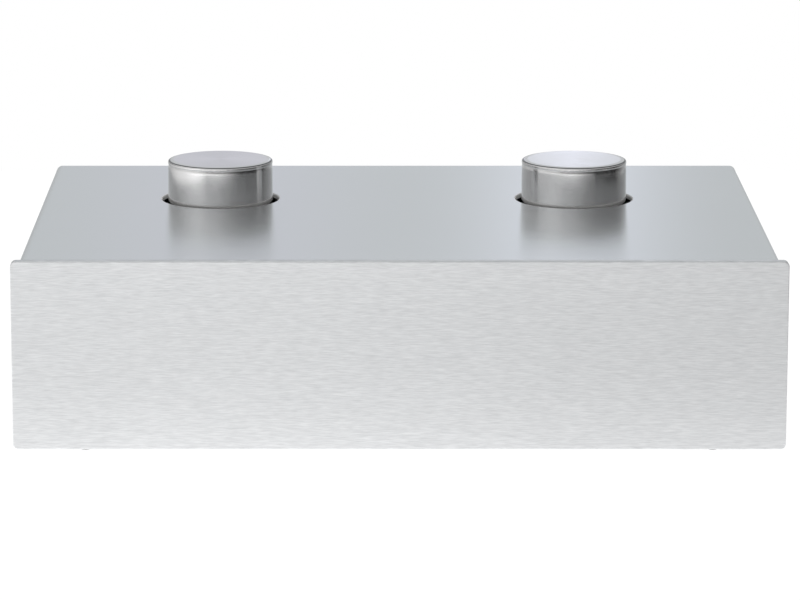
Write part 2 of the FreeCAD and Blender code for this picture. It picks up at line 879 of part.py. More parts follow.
def save_transformers():
    fixing = screw(board_thickness + screw_bite)
    pins = []
    screws = []
    for hand, side in left_and_right.items():
        place = Vector(side * can_offset, can_y, 0)
        save("transformer_can_" + hand, moved(transformer_can(), place))
        save("transformer_core_" + hand, moved(transformer_core(), place))
        save("bobbin_" + hand, moved(bobbin(), place))
        save("primary_winding_" + hand, moved(primary_winding(), place))
        save("secondary_winding_" + hand, moved(secondary_winding(), place))
        save("terminal_base_" + hand, moved(terminal_base(), place))
        pins += terminal_pins(side)
        screws.append(moved(fixing, Vector(place.x, place.y, board_bottom), Vector(0, 0, -1)))
    save("terminal_pins", *pins)
    save("transformer_screws", *screws)


def save_phono_sockets():
    contacts = []
    nuts = []
    ways = {"input": 1, "output": -1}
    channels = {"right": socket_heights()[0], "left": socket_heights()[1]}
    for channel, z in channels.items():
        rings = []
        for way, side in ways.items():
            x = side * socket_offset
            name = way + "_" + channel
            save("phono_shell_" + name, on_rear_wall(phono_shell(), x, z))
            save("phono_insulator_" + name, on_rear_wall(phono_insulator(), x, z))
            contacts.append(on_rear_wall(phono_contact(), x, z))
            nuts.append(on_rear_wall(phono_nut_piece(), x, z))
            rings += [on_rear_wall(ring, x, z) for ring in phono_rings()]
        save("phono_rings_" + channel, *rings)
    save("phono_contacts", *contacts)
    save("phono_nuts", *nuts)


def save_balanced_sockets():
    inserts = []
    pins = []
    nuts = []
    for way, side in {"input": 1, "output": -1}.items():
        x = side * balanced_offset
        save("balanced_shell_" + way, on_rear_wall(balanced_shell(), x, socket_row))
        inserts.append(on_rear_wall(balanced_insert_piece(), x, socket_row))
        pins += [on_rear_wall(pin, x, socket_row) for pin in balanced_pin_set()]
        nuts.append(on_rear_wall(balanced_nut_piece(), x, socket_row))
    save("balanced_inserts", *inserts)
    save("balanced_pins", *pins)
    save("balanced_nuts", *nuts)


def save_switches():
    lugs = []
    nuts = []
    for hand, side in left_and_right.items():
        x = side * toggle_offset
        save("toggle_housing_" + hand, on_rear_wall(toggle_housing(), x, socket_row))
        save("toggle_bushing_" + hand, on_rear_wall(toggle_bushing(), x, socket_row))
        save("toggle_lever_" + hand, placed_lever(side))
        lugs += [on_rear_wall(lug, x, socket_row) for lug in toggle_lugs()]
        nuts.append(on_rear_wall(toggle_nut_piece(), x, socket_row))
    save("toggle_lugs", *lugs)
    save("toggle_nuts", *nuts)


def save_ground_terminal():
    save("ground_post", on_rear_wall(ground_post(), 0, socket_row))
    save("ground_bushes", *[on_rear_wall(bush, 0, socket_row) for bush in ground_bushes()])
    save("ground_nut", on_rear_wall(ground_nut(), 0, socket_row))
    save("clamp_washer", on_rear_wall(clamp_washer(), 0, socket_row))
    save("thumb_nut", on_rear_wall(thumb_nut(), 0, socket_row))


def save_leads():
    save("input_leads", *socket_leads(1))
    save("output_leads", *socket_leads(-1))
    save("switch_leads", *switch_leads())


os.makedirs("parts", exist_ok=True)
save_case()
save_board()
save_transformers()
save_phono_sockets()
save_balanced_sockets()
save_switches()
save_ground_terminal()
save_leads()
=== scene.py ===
import math

import bpy
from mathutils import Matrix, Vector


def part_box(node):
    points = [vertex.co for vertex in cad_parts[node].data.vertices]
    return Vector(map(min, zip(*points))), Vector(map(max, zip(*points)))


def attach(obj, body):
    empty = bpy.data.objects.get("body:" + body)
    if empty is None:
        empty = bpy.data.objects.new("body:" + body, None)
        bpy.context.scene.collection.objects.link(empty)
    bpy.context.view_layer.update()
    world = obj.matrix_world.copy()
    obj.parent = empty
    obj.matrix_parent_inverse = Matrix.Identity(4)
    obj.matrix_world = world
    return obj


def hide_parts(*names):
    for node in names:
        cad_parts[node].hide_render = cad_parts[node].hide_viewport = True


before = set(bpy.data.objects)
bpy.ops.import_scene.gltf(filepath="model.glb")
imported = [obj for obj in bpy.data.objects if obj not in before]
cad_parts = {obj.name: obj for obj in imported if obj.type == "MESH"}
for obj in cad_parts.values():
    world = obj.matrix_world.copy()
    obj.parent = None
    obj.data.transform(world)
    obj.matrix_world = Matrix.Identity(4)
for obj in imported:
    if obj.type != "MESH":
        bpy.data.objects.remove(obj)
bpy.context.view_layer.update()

bpy.ops.object.select_all(action="DESELECT")

MM = 0.001
TOUCHING = 0.0000005
INK = 0.00002
FACING_BACK = (math.radians(-90), 0, 0)
READ_FROM_BEHIND = (math.radians(90), 0, math.radians(180))
hands = ("left", "right")
can_wall = 0.8 * MM
hole_reach = 2.06 * MM  # from a can's wall to just past the softened edge of its hole in the cover


def middle_of(node):
    """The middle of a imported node's box, in metres."""
    low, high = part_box(node)
    return [(start + end) / 2 for start, end in zip(low, high)]


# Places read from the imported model, in metres.
rear_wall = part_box("base_tray")[1].y
socket_row = middle_of("ground_post")[2]
socket_x, _, upper_socket = middle_of("phono_shell_input_left")
socket_heights = (2 * socket_row - upper_socket, upper_socket)
balanced_x = middle_of("balanced_shell_input")[0]
switch_x = middle_of("toggle_bushing_right")[0]
can_x, can_y, _ = middle_of("transformer_can_right")
can_low, can_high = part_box("transformer_can_right")
can_radius = (can_high.x - can_low.x) / 2


def only(piece):
    """Leaves one object selected and active."""
    bpy.ops.object.select_all(action="DESELECT")
    piece.select_set(True)
    bpy.context.view_layer.objects.active = piece


def named(name):
    """Names the object that an operator has just added."""
    made = bpy.context.object
    made.name = name
    made.data.name = name
    return made


def select_where(piece, test):
    """In edit mode: selects the points whose place passes a test, and nothing else."""
    bpy.ops.mesh.select_mode(type="VERT")
    bpy.ops.mesh.select_all(action="DESELECT")
    bpy.ops.object.mode_set(mode="OBJECT")
    for vertex in piece.data.vertices:
        vertex.select = test(vertex.co)
    bpy.ops.object.mode_set(mode="EDIT")


def drawn_out(name, points):
    """A line of edges through (radius, height) points: one point, drawn out step by step."""
    bpy.ops.mesh.primitive_plane_add(size=MM, location=(0, 0, 0))
    made = named(name)
    bpy.ops.object.mode_set(mode="EDIT")
    bpy.ops.mesh.merge(type="CENTER")
    bpy.ops.transform.translate(value=(points[0][0], 0, points[0][1]))
    for before, after in zip(points, points[1:]):
        step = (after[0] - before[0], 0, after[1] - before[1])
        bpy.ops.mesh.extrude_region_move(TRANSFORM_OT_translate={"value": step})
    bpy.ops.mesh.select_all(action="SELECT")
    return made


def closed_up():
    """In edit mode: joins the seams, and turns every face outwards."""
    bpy.ops.mesh.select_all(action="SELECT")
    bpy.ops.mesh.remove_doubles(threshold=TOUCHING)
    bpy.ops.mesh.normals_make_consistent(inside=False)
    bpy.ops.object.mode_set(mode="OBJECT")


def turned(name, points, steps=64):
    """A lathe piece round the Z axis."""
    made = drawn_out(name, points)
    bpy.ops.mesh.spin(steps=steps, angle=2 * math.pi, center=(0, 0, 0), axis=(0, 0, 1))
    closed_up()
    return made


def threaded(name, radius, pitch, low, high, steps=32):
    """A rod with a real helical thread: one ridge, wound up the rod and cut off square."""
    root = radius - 0.6 * pitch
    crest_start, crest_end, foot = 0.42 * pitch, 0.54 * pitch, 0.96 * pitch
    turns_below, spare_turns = 1.3, 3
    lead_in, lead_in_share = 0.45 * pitch, 0.86
    ridge = [(root, 0), (radius, crest_start), (radius, crest_end), (root, foot), (root, pitch)]
    made = drawn_out(name, ridge)
    bpy.ops.transform.translate(value=(0, 0, low - turns_below * pitch))
    bpy.ops.object.mode_set(mode="OBJECT")
    winding = made.modifiers.new("winding", "SCREW")
    winding.axis = "Z"
    winding.angle = 2 * math.pi
    winding.screw_offset = pitch
    winding.iterations = math.ceil((high - low) / pitch) + spare_turns
    winding.steps = steps
    winding.render_steps = steps
    only(made)
    bpy.ops.object.modifier_apply(modifier=winding.name)
    bpy.ops.object.mode_set(mode="EDIT")
    bpy.ops.mesh.select_all(action="SELECT")
    bpy.ops.mesh.remove_doubles(threshold=TOUCHING)
    for height, cleared in ((low, {"clear_inner": True}), (high, {"clear_outer": True})):
        bpy.ops.mesh.select_all(action="SELECT")
        bpy.ops.mesh.bisect(plane_co=(0, 0, height), plane_no=(0, 0, 1), **cleared)
    bpy.ops.mesh.select_all(action="SELECT")
    bpy.ops.mesh.remove_doubles(threshold=TOUCHING)
    bpy.ops.mesh.fill_holes(sides=0)
    select_where(made, lambda place: place.z > high - lead_in)
    bpy.ops.transform.resize(value=(lead_in_share, lead_in_share, 1), center_override=(0, 0, 0))
    closed_up()
    return made


def cut_from(piece, tool):
    """Takes the tool's shape out of the piece, and the tool away."""
    cut = piece.modifiers.new("cut", "BOOLEAN")
    cut.operation = "DIFFERENCE"
    cut.solver = "EXACT"
    cut.object = tool
    only(piece)
    bpy.ops.object.modifier_apply(modifier=cut.name)
    bpy.data.objects.remove(tool, do_unlink=True)
    return piece


def joined(pieces):
    """Several meshes as one piece, named after the first."""
    bpy.ops.object.select_all(action="DESELECT")
    for piece in pieces:
        piece.select_set(True)
    bpy.context.view_layer.objects.active = pieces[0]
    bpy.ops.object.join()
    return pieces[0]


def copy_of(piece, name):
    """A second piece with its own mesh."""
    made = piece.copy()
    made.data = piece.data.copy()
    made.name = name
    bpy.context.scene.collection.objects.link(made)
    return made


def settle(piece, place, turn=(0, 0, 0)):
    """Moves a finished shape to its place, and puts that place in its mesh."""
    piece.location = place
    piece.rotation_euler = turn
    only(piece)
    bpy.ops.object.transform_apply(location=True, rotation=True, scale=True)
    return piece


def settle_behind(piece, x, z):
    """Sets a shape that was built upward on the rear wall, pointing back."""
    return settle(piece, (x, rear_wall, z), FACING_BACK)


def fitted(piece, finish, body, nodes, sharp=30):
    """Gives a finished piece its material, its body and the nodes that it stands for."""
    only(piece)
    bpy.ops.object.shade_smooth_by_angle(angle=math.radians(sharp))
    piece.data.materials.clear()
    piece.data.materials.append(finish)
    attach(piece, body)
    if nodes:
        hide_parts(*nodes)
    return piece


def arc(points, radius, tilts, count):
    """Goes on along an arc. The tilt is how far the surface looks up; it is negative where it looks down.

    The tilt falls along a bulging arc and rises along a hollow one.
    """
    across, height = points[-1]
    start, end = (math.radians(tilt) for tilt in tilts)
    bulge = radius if end < start else -radius
    for number in range(1, count + 1):
        tilt = start + (end - start) * number / count
        reach = across + bulge * (math.cos(tilt) - math.cos(start))
        level = height - bulge * (math.sin(start) - math.sin(tilt))
        points.append((reach, level))


def can_outline(radius, top, bottom):
    """Half of a can: crowned lid, rounded rim with a fine groove under it, and faintly barrelled wall.

    The outside is a chain of arcs, each with its radius, its tilt at both ends and its number of steps.
    """
    arcs = {
        "crown": (6.0 * MM, (90, 76), 5),
        "rim": (0.5 * MM, (76, 2), 10),
        "band": (6.0 * MM, (2, -1.4), 2),
        "undercut": (0.12 * MM, (-1.4, -70), 4),
        "root": (0.12 * MM, (-70, 10), 4),
        "shoulder": (7.5 * MM, (10, 1.3), 10),
        "barrel": (250.0 * MM, (1.3, 0), 5),
    }
    chain = [(0, 0)]
    for stretch in arcs.values():
        arc(chain, *stretch)
    flat = radius - chain[-1][0]
    outline = [(0, top)] + [(flat + across, top + height) for across, height in chain]
    lip, corner = 0.15 * MM, 1.6 * MM
    inside, ceiling = radius - can_wall, top - can_wall
    outline += [
        (radius, bottom + lip), (radius - lip, bottom), (inside + lip, bottom), (inside, bottom + lip),
        (inside, ceiling - corner), (inside - 0.25 * corner, ceiling - 0.3 * corner),
        (inside - corner, ceiling), (0, ceiling),
    ]
    return outline


def transformer_cans(finish):
    """Both shielding cans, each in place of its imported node."""
    for hand in hands:
        node = "transformer_can_" + hand
        low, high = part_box(node)
        x, y, _ = middle_of(node)
        can = turned("drawn_can_" + hand, can_outline((high.x - low.x) / 2, high.z - low.z, 0), steps=160)
        settle(can, (x, y, low.z))
        fitted(can, finish, "case", [node], sharp=25)


def thumb_nut(finish):
    """A knurled round nut: a hub, then a band with straight teeth, and a shallow dish outside."""
    low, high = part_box("thumb_nut")
    radius = (high.z - low.z) / 2
    base, end = low.y - rear_wall, high.y - rear_wall
    bore, hub, edge = 2.05 * MM, 3.9 * MM, 0.3 * MM
    slope, dish = 1.4 * edge, edge / 2
    neck = base + 1.8 * MM
    outline = [
        (bore, base), (hub - edge, base), (hub, base + edge), (hub, neck - edge), (hub - dish, neck),
        (radius - 2 * edge, neck), (radius, neck + slope), (radius, end - slope),
        (radius - 2 * edge, end), (hub, end), (hub - edge, end - dish), (bore + edge, end - dish),
        (bore, end - 2 * edge), (bore, base),
    ]
    teeth, tooth_zone, valley_share = 54, 0.1 * MM, 0.945
    nut = turned("knurled_thumb_nut", outline, steps=2 * teeth)
    bpy.ops.object.mode_set(mode="EDIT")
    step = math.pi / teeth

    def in_valley(place):
        odd = round(math.atan2(place.y, place.x) / step) % 2
        return odd and place.xy.length > radius - tooth_zone

    select_where(nut, in_valley)
    bpy.ops.transform.resize(value=(valley_share, valley_share, 1), center_override=(0, 0, 0))
    bpy.ops.object.mode_set(mode="OBJECT")
    settle_behind(nut, 0, socket_row)
    fitted(nut, finish, "thumb", ["thumb_nut"], sharp=20)


def ground_post(finish):
    """A threaded stud with the collar that a wire is clamped against."""
    low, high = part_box("ground_post")
    radius, pitch, core = 2.0 * MM, 0.7 * MM, 1.2 * MM
    collar_low, collar_high, collar, edge = 1.2 * MM, 2.7 * MM, 4.5 * MM, 0.2 * MM
    rod = threaded("threaded_ground_post", radius, pitch, low.y - rear_wall, high.y - rear_wall)
    ring = turned("collar", [
        (core, collar_low), (collar - edge, collar_low), (collar, collar_low + edge),
        (collar, collar_high - edge), (collar - edge, collar_high), (core, collar_high), (core, collar_low),
    ])
    post = joined([rod, ring])
    settle_behind(post, 0, socket_row)
    fitted(post, finish, "case", ["ground_post"])


def toggle_bushings(finish):
    """Threaded necks that the levers come out of."""
    pitch, facets, past_end = 0.6 * MM, 48, MM
    bore, mouth, countersink = 2.25 * MM, 2.5 * MM, 0.25 * MM
    for hand in hands:
        node = "toggle_bushing_" + hand
        low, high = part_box(node)
        base, end = low.y - rear_wall, high.y - rear_wall
        neck = threaded("threaded_neck_" + hand, (high.x - low.x) / 2, pitch, base, end, facets)
        drill = turned("drill", [
            (0, base - past_end), (bore, base - past_end), (bore, end - countersink), (mouth, end),
            (mouth, end + past_end), (0, end + past_end),
        ], facets)
        cut_from(neck, drill)
        settle_behind(neck, middle_of(node)[0], socket_row)
        fitted(neck, finish, "case", [node])


def phono_contact(name):
    """A spring sleeve, slit in four, on a solid tail that a wire is soldered to."""
    low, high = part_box("phono_contacts")
    back, end = low.y - rear_wall, high.y - rear_wall
    shoulder = back + 4.5 * MM
    outer, bore, tail, edge = 2.1 * MM, 1.6 * MM, 0.8 * MM, 0.12 * MM
    bore_end, drill_point = end - 9.0 * MM, end - 9.3 * MM
    slit_depth, slit_width = 5.0 * MM, 0.35 * MM
    sleeve = turned(name, [
        (0, back), (tail - edge, back), (tail, back + edge), (tail, shoulder), (outer, shoulder),
        (outer, end - edge), (outer - edge, end), (bore + edge, end), (bore, end - 2 * edge),
        (bore, bore_end), (0, drill_point),
    ], steps=48)
    for turn in (0, 90):
        bpy.ops.mesh.primitive_cube_add(size=1, location=(0, 0, end), rotation=(0, 0, math.radians(turn)))
        slit = named("slit")
        slit.scale = (slit_width, 3 * outer, 2 * slit_depth)
        cut_from(sleeve, slit)
    return sleeve


def phono_contacts(finish):
    """The four contacts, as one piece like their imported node."""
    first = phono_contact("split_contacts")
    places = [(side * socket_x, z) for side in (1, -1) for z in socket_heights]
    sleeves = [first] + [copy_of(first, "contact") for place in places[1:]]
    for sleeve, (x, z) in zip(sleeves, places):
        settle_behind(sleeve, x, z)
    fitted(joined(sleeves), finish, "case", ["phono_contacts"])


def wound_coil(name, node, build, turns, corner):
    """One layer of turns on show: an outline drawn up in ridges, then given its thickness inward."""
    low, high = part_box(node)
    middle = middle_of(node)
    valley_depth, clearance = 0.5, 0.05 * MM
    bpy.ops.mesh.primitive_plane_add(size=1, location=(0, 0, 0))
    made = named(name)
    bpy.ops.object.mode_set(mode="EDIT")
    bpy.ops.transform.resize(value=(high.x - low.x, high.y - low.y, 1))
    bpy.ops.mesh.bevel(offset=corner, segments=4, affect="VERTICES")
    bpy.ops.mesh.delete(type="ONLY_FACE")
    bpy.ops.mesh.select_all(action="SELECT")
    bpy.ops.transform.translate(value=(0, 0, low.z - middle[2]))
    step = (high.z - low.z) / (2 * turns)
    valley = 1 - valley_depth * step / (high.x - middle[0])
    bpy.ops.transform.resize(value=(valley, valley, 1), center_override=(0, 0, 0))
    for number in range(2 * turns):
        factor = valley if number % 2 else 1 / valley
        bpy.ops.mesh.extrude_region_move(TRANSFORM_OT_translate={"value": (0, 0, step)})
        bpy.ops.transform.resize(value=(factor, factor, 1), center_override=(0, 0, 0))
    closed_up()
    wall = made.modifiers.new("wall", "SOLIDIFY")
    wall.thickness = build - clearance
    wall.offset = -1
    only(made)
    bpy.ops.object.modifier_apply(modifier=wall.name)
    return settle(made, middle)


def windings(finish):
    """Each transformer's two coils, by how thick they are wound, their turns on show and their corners."""
    coils = {
        "primary_winding_": (1.3 * MM, 40, 0.6 * MM),
        "secondary_winding_": (2.1 * MM, 56, 1.0 * MM),
    }
    for hand in hands:
        for prefix, (build, turns, corner) in coils.items():
            node = prefix + hand
            coil = wound_coil("wound_" + node, node, build, turns, corner)
            fitted(coil, finish, "case", [node], sharp=45)


def printed(words, x, z, height):
    """Words printed on the rear wall, to be read from behind."""
    bpy.ops.object.text_add(location=(0, 0, 0))
    made = bpy.context.object
    made.data.body = words
    made.data.size = height
    made.data.align_x = "CENTER"
    made.data.align_y = "CENTER"
    made.data.extrude = INK
    bpy.ops.object.convert(target="MESH")
    return settle(made, (x, rear_wall, z), READ_FROM_BEHIND)


def rule(x, z, width, height):
    """A bar printed on the rear wall."""
    bpy.ops.mesh.primitive_plane_add(size=1, location=(0, 0, 0))
    made = bpy.context.object
    bpy.ops.object.mode_set(mode="EDIT")
    bpy.ops.transform.resize(value=(width, height, 1))
    bpy.ops.mesh.extrude_region_move(TRANSFORM_OT_translate={"value": (0, 0, INK)})
    closed_up()
    return settle(made, (x, rear_wall, z), READ_FROM_BEHIND)


def titled(title, x, width):
    """A group's name over its rule."""
    title_z, gap, size, line = 49.3 * MM, 2.3 * MM, 3.0 * MM, 0.25 * MM
    return [printed(title, x, title_z, size), rule(x, title_z - gap, width, line)]


def ground_mark(top):
    """The sign for ground: three bars, each shorter than the one over it."""
    gap, line = 0.8 * MM, 0.3 * MM
    widths = (3.2 * MM, 2.0 * MM, 0.8 * MM)
    return [rule(0, top - gap * number, width, line) for number, width in enumerate(widths)]


def rear_legend(finish):
    """Plain words and marks that say what each socket and switch is for."""
    big, small = 3.0 * MM, 2.5 * MM
    group_x, beside_socket, under_socket = 67.5 * MM, 9.6 * MM, 11 * MM
    over_switch, to_setting, under_ground = 13.5 * MM, 8.2 * MM, 13.6 * MM
    switch_group, socket_group = 62 * MM, 36 * MM
    marks = titled("RATIO", 0, switch_group)
    for title, side in (("INPUT", 1), ("OUTPUT", -1)):
        marks += titled(title, side * group_x, socket_group)
        for letter, z in zip("RL", socket_heights):
            marks.append(printed(letter, side * (socket_x - beside_socket), z, big))
        marks.append(printed("BALANCED", side * balanced_x, socket_row - under_socket, small))
    for letter, side in (("L", -1), ("R", 1)):
        x = side * switch_x
        marks.append(printed(letter, x, socket_row + over_switch, big))
        marks.append(printed("1:20", x, socket_row + to_setting, small))
        marks.append(printed("1:10", x, socket_row - to_setting, small))
    marks.append(printed("GND", 0, socket_row - under_socket, small))
    marks += ground_mark(socket_row - under_ground)
    legend = joined(marks)
    legend.name = "rear_legend"
    bpy.ops.object.mode_set(mode="EDIT")
    closed_up()
    fitted(legend, finish, "case", [])


class Value:
    """A node's output that takes part in arithmetic: each sum or product adds its Math node."""

    def __init__(self, finish, socket):
        self.finish = finish
        self.socket = socket

    def maths(self, operation, first, second):
        return self.finish.node("ShaderNodeMath", {"operation": operation}, {0: first, 1: second})

    def __add__(self, other):
        return self.maths("ADD", self, other)

    def __radd__(self, other):
        return self.maths("ADD", other, self)

    def __sub__(self, other):
        return self.maths("SUBTRACT", self, other)

    def __rsub__(self, other):
        return self.maths("SUBTRACT", other, self)

    def __mul__(self, other):
        return self.maths("MULTIPLY", self, other)

    def __rmul__(self, other):
        return self.maths("MULTIPLY", other, self)


class Finish:
    """A node tree while it is being built: a material's or the world's."""

    def __init__(self, tree):
        self.tree = tree

    def node(self, kind, settings, inputs, output=0):
        """Adds a node: its settings first, then the values or links of its sockets."""
        made = self.tree.nodes.new(kind)
        for name, value in settings.items():
            if name == "stops":
                self.set_stops(made.color_ramp, value)
            else:
                setattr(made, name, value)
        for key, value in inputs.items():
            if isinstance(value, Value):
                self.tree.links.new(value.socket, made.inputs[key])
            else:
                made.inputs[key].default_value = value
        return Value(self, made.outputs[output]) if len(made.outputs) else None

    def set_stops(self, ramp, stops):
        while len(ramp.elements) < len(stops):
            ramp.elements.new(1.0)
        for element, (place, shade) in zip(ramp.elements, stops):
            element.position = place
            element.color = (*shade, 1.0) if isinstance(shade, tuple) else (shade, shade, shade, 1.0)

    def object_place(self):
        return self.node("ShaderNodeTexCoord", {}, {}, "Object")

    def axes(self, place):
        """The three parts of a place."""
        x = self.node("ShaderNodeSeparateXYZ", {}, {0: place}, "X")
        return [x] + [Value(self, x.socket.node.outputs[name]) for name in "YZ"]

    def stretched(self, scale, turn=(0.0, 0.0, 0.0), shift=(0.0, 0.0, 0.0)):
        """Object coordinates, turned and then scaled so that one unit is one grain of a pattern."""
        turned = self.node("ShaderNodeMapping", {}, {"Vector": self.object_place(), "Rotation": turn})
        return self.node("ShaderNodeMapping", {}, {"Vector": turned, "Scale": scale, "Location": shift})

    def inside_of(self, circles):
        """One inside upright round holes, given as (x, y, radius), and nought elsewhere."""
        place = self.object_place()
        total = 0.0
        for x, y, radius in circles:
            offset = self.vector("SUBTRACT", {0: place, 1: (x, y, 0.0)})
            flat = self.vector("MULTIPLY", {0: offset, 1: (1.0, 1.0, 0.0)})
            reach = self.vector("LENGTH", {0: flat}, "Value")
            total = total + self.node("ShaderNodeMath", {"operation": "LESS_THAN"}, {0: reach, 1: radius})
        return total

    def vector(self, operation, inputs, output=0):
        return self.node("ShaderNodeVectorMath", {"operation": operation}, inputs, output)

    def noise(self, place, detail=2.0, roughness=0.5):
        inputs = {"Vector": place, "Detail": detail, "Roughness": roughness, "Scale": 1.0}
        return self.node("ShaderNodeTexNoise", {}, inputs)

    def ramp(self, factor, stops):
        """A scale of shades or colours, read at a place from nought to one."""
        return self.node("ShaderNodeValToRGB", {"stops": stops}, {"Fac": factor})

    def blend(self, factor, first, second):
        """A colour between two colours."""
        colour_sockets = {0: factor, 6: first, 7: second}
        return self.node("ShaderNodeMix", {"data_type": "RGBA"}, colour_sockets, 2)

    def bump(self, height, distance, strength=1.0):
        inputs = {"Height": height, "Distance": distance, "Strength": strength}
        return self.node("ShaderNodeBump", {}, inputs)


class Surface(Finish):
    """A material with one Principled shader. Constants go straight onto its sockets."""

    def __init__(self, name, colour, roughness, metallic=0.0, **constants):
        self.material = bpy.data.materials.new(name)
        self.material.use_nodes = True
        super().__init__(self.material.node_tree)
        self.shader = self.tree.nodes["Principled BSDF"]
        self.colour = (*colour, 1.0)
        self.set("Base Color", self.colour)
        self.set("Roughness", roughness)
        self.set("Metallic", metallic)
        for socket, value in constants.items():
            self.set(socket.replace("_", " "), value)

    def set(self, socket, value):
        if isinstance(value, Value):
            self.tree.links.new(value.socket, self.shader.inputs[socket])
        else:
            self.shader.inputs[socket].default_value = value

    def shade(self, level):
        """The surface's colour between nine tenths and full strength, by a level of 0 to 1."""
        dark = tuple(part * 0.9 for part in self.colour[:3]) + (1.0,)
        return self.blend(level, dark, self.colour)


def brushed_panel():
    """Aluminium brushed across, in short strokes that cross at a shallow angle."""
    made = Surface("brushed_aluminium", (0.84, 0.85, 0.86), roughness=0.38, metallic=1.0, Anisotropic=0.8)
    made.set("Anisotropic Rotation", 0.25)
    tilt = math.radians(2.5)
    dull, bright = (0.70, 0.71, 0.72, 1.0), (0.86, 0.87, 0.88, 1.0)
    down = made.stretched((310.0, 300.0, 3300.0), turn=(0, tilt, 0))
    up = made.stretched((250.0, 300.0, 2900.0), turn=(0, -tilt, 0), shift=(7, 3, 5))
    crossed = made.noise(down, detail=3.0, roughness=0.6) + made.noise(up, detail=3.0, roughness=0.6)
    hair = made.noise(made.stretched((140.0, 300.0, 6000.0)))
    strokes = crossed * 0.4 + hair * 0.2
    level = made.ramp(strokes, [(0.36, 0.0), (0.64, 1.0)])
    made.set("Base Color", made.blend(level, dull, bright))
    made.set("Roughness", 0.46 - strokes * 0.16)
    made.set("Normal", made.bump(strokes, distance=0.00002, strength=0.5))
    return made.material


def satin_sheet(name, colour, holes=()):
    """Blasted and anodised sheet with a very fine even grain, rougher on the cut edges of its holes."""
    made = Surface(name, colour, roughness=0.24, metallic=1.0)
    grain = made.noise(made.stretched((5200.0,) * 3), detail=2.0, roughness=0.6)
    cloud = made.noise(made.stretched((22.0,) * 3))
    tone = made.shade(cloud * 0.3 + grain * 0.2 + 0.55)
    roughness = grain * 0.05 + cloud * 0.03 + 0.2
    if holes:
        cut = made.inside_of(holes)
        bare = made.blend(grain, (0.80, 0.80, 0.79, 1.0), (0.90, 0.90, 0.89, 1.0))
        tone = made.blend(cut, tone, bare)
        roughness = roughness + cut * 0.34
        made.set("Metallic", 1.0 - cut)
    made.set("Base Color", tone)
    made.set("Roughness", roughness)
    made.set("Normal", made.bump(grain, distance=0.000004, strength=0.3))
    return made.material


def drawn_can():
    """Deep drawn nickel alloy with fine rings from the lathe. The lid's edge carries a painted dark ring:
    painted shade and a painted dark reflection along the rim.
    """
    made = Surface("drawn_nickel", (0.79, 0.785, 0.785), roughness=0.15, metallic=1.0, Anisotropic=0.85)
    made.set("Anisotropic Rotation", 0.25)
    waves = made.noise(made.stretched((420.0, 420.0, 300.0)), detail=3.0, roughness=0.55)
    lines = made.noise(made.stretched((60.0, 60.0, 2500.0)))
    # Painted shade: a dark ring round each lid's rim stands in for the shade in the rim's crease and the dark
    # reflection along it.
    rim_shade_start, rim_shade_width, painted_rim_shade = can_high.z - 0.34 * MM, 0.62 * MM, (0.13, 0.13, 0.135, 1.0)
    height = made.axes(made.object_place())[2]
    near_top = made.node("ShaderNodeMath", {"operation": "GREATER_THAN"}, {0: height, 1: rim_shade_start})
    lids = [(side * can_x, can_y, can_radius - rim_shade_width) for side in (-1, 1)]
    # This mask marks the rim ring that gets the painted dark colour.
    edge = near_top * (1.0 - made.inside_of(lids))
    made.set("Base Color", made.blend(edge, made.shade(waves * 0.4 + 0.6), painted_rim_shade))
    made.set("Roughness", waves * 0.06 + lines * 0.04 + 0.105)
    made.set("Normal", made.bump(waves * 0.8 + lines * 0.2, distance=0.00002, strength=0.3))
    return made.material


def plated(name, colour, roughness):
    """Plated metal with slightly uneven polish."""
    made = Surface(name, colour, roughness, metallic=1.0)
    wear = made.noise(made.stretched((900.0,) * 3), detail=3.0, roughness=0.6)
    fine = made.noise(made.stretched((5000.0,) * 3))
    made.set("Base Color", made.shade(wear))
    made.set("Roughness", wear * 0.1 + fine * 0.06 + (roughness - 0.08))
    made.set("Normal", made.bump(fine, distance=0.000004, strength=0.3))
    return made.material


def moulded(name, colour, roughness, grain=2500.0):
    """Moulded plastic or rubber with a fine skin."""
    made = Surface(name, colour, roughness)
    skin = made.noise(made.stretched((grain,) * 3), detail=3.0, roughness=0.6)
    cloud = made.noise(made.stretched((150.0,) * 3))
    made.set("Base Color", made.shade(skin * 0.5 + cloud * 0.5))
    made.set("Roughness", skin * 0.16 + (roughness - 0.08))
    made.set("Normal", made.bump(skin, distance=0.00001, strength=0.35))
    return made.material


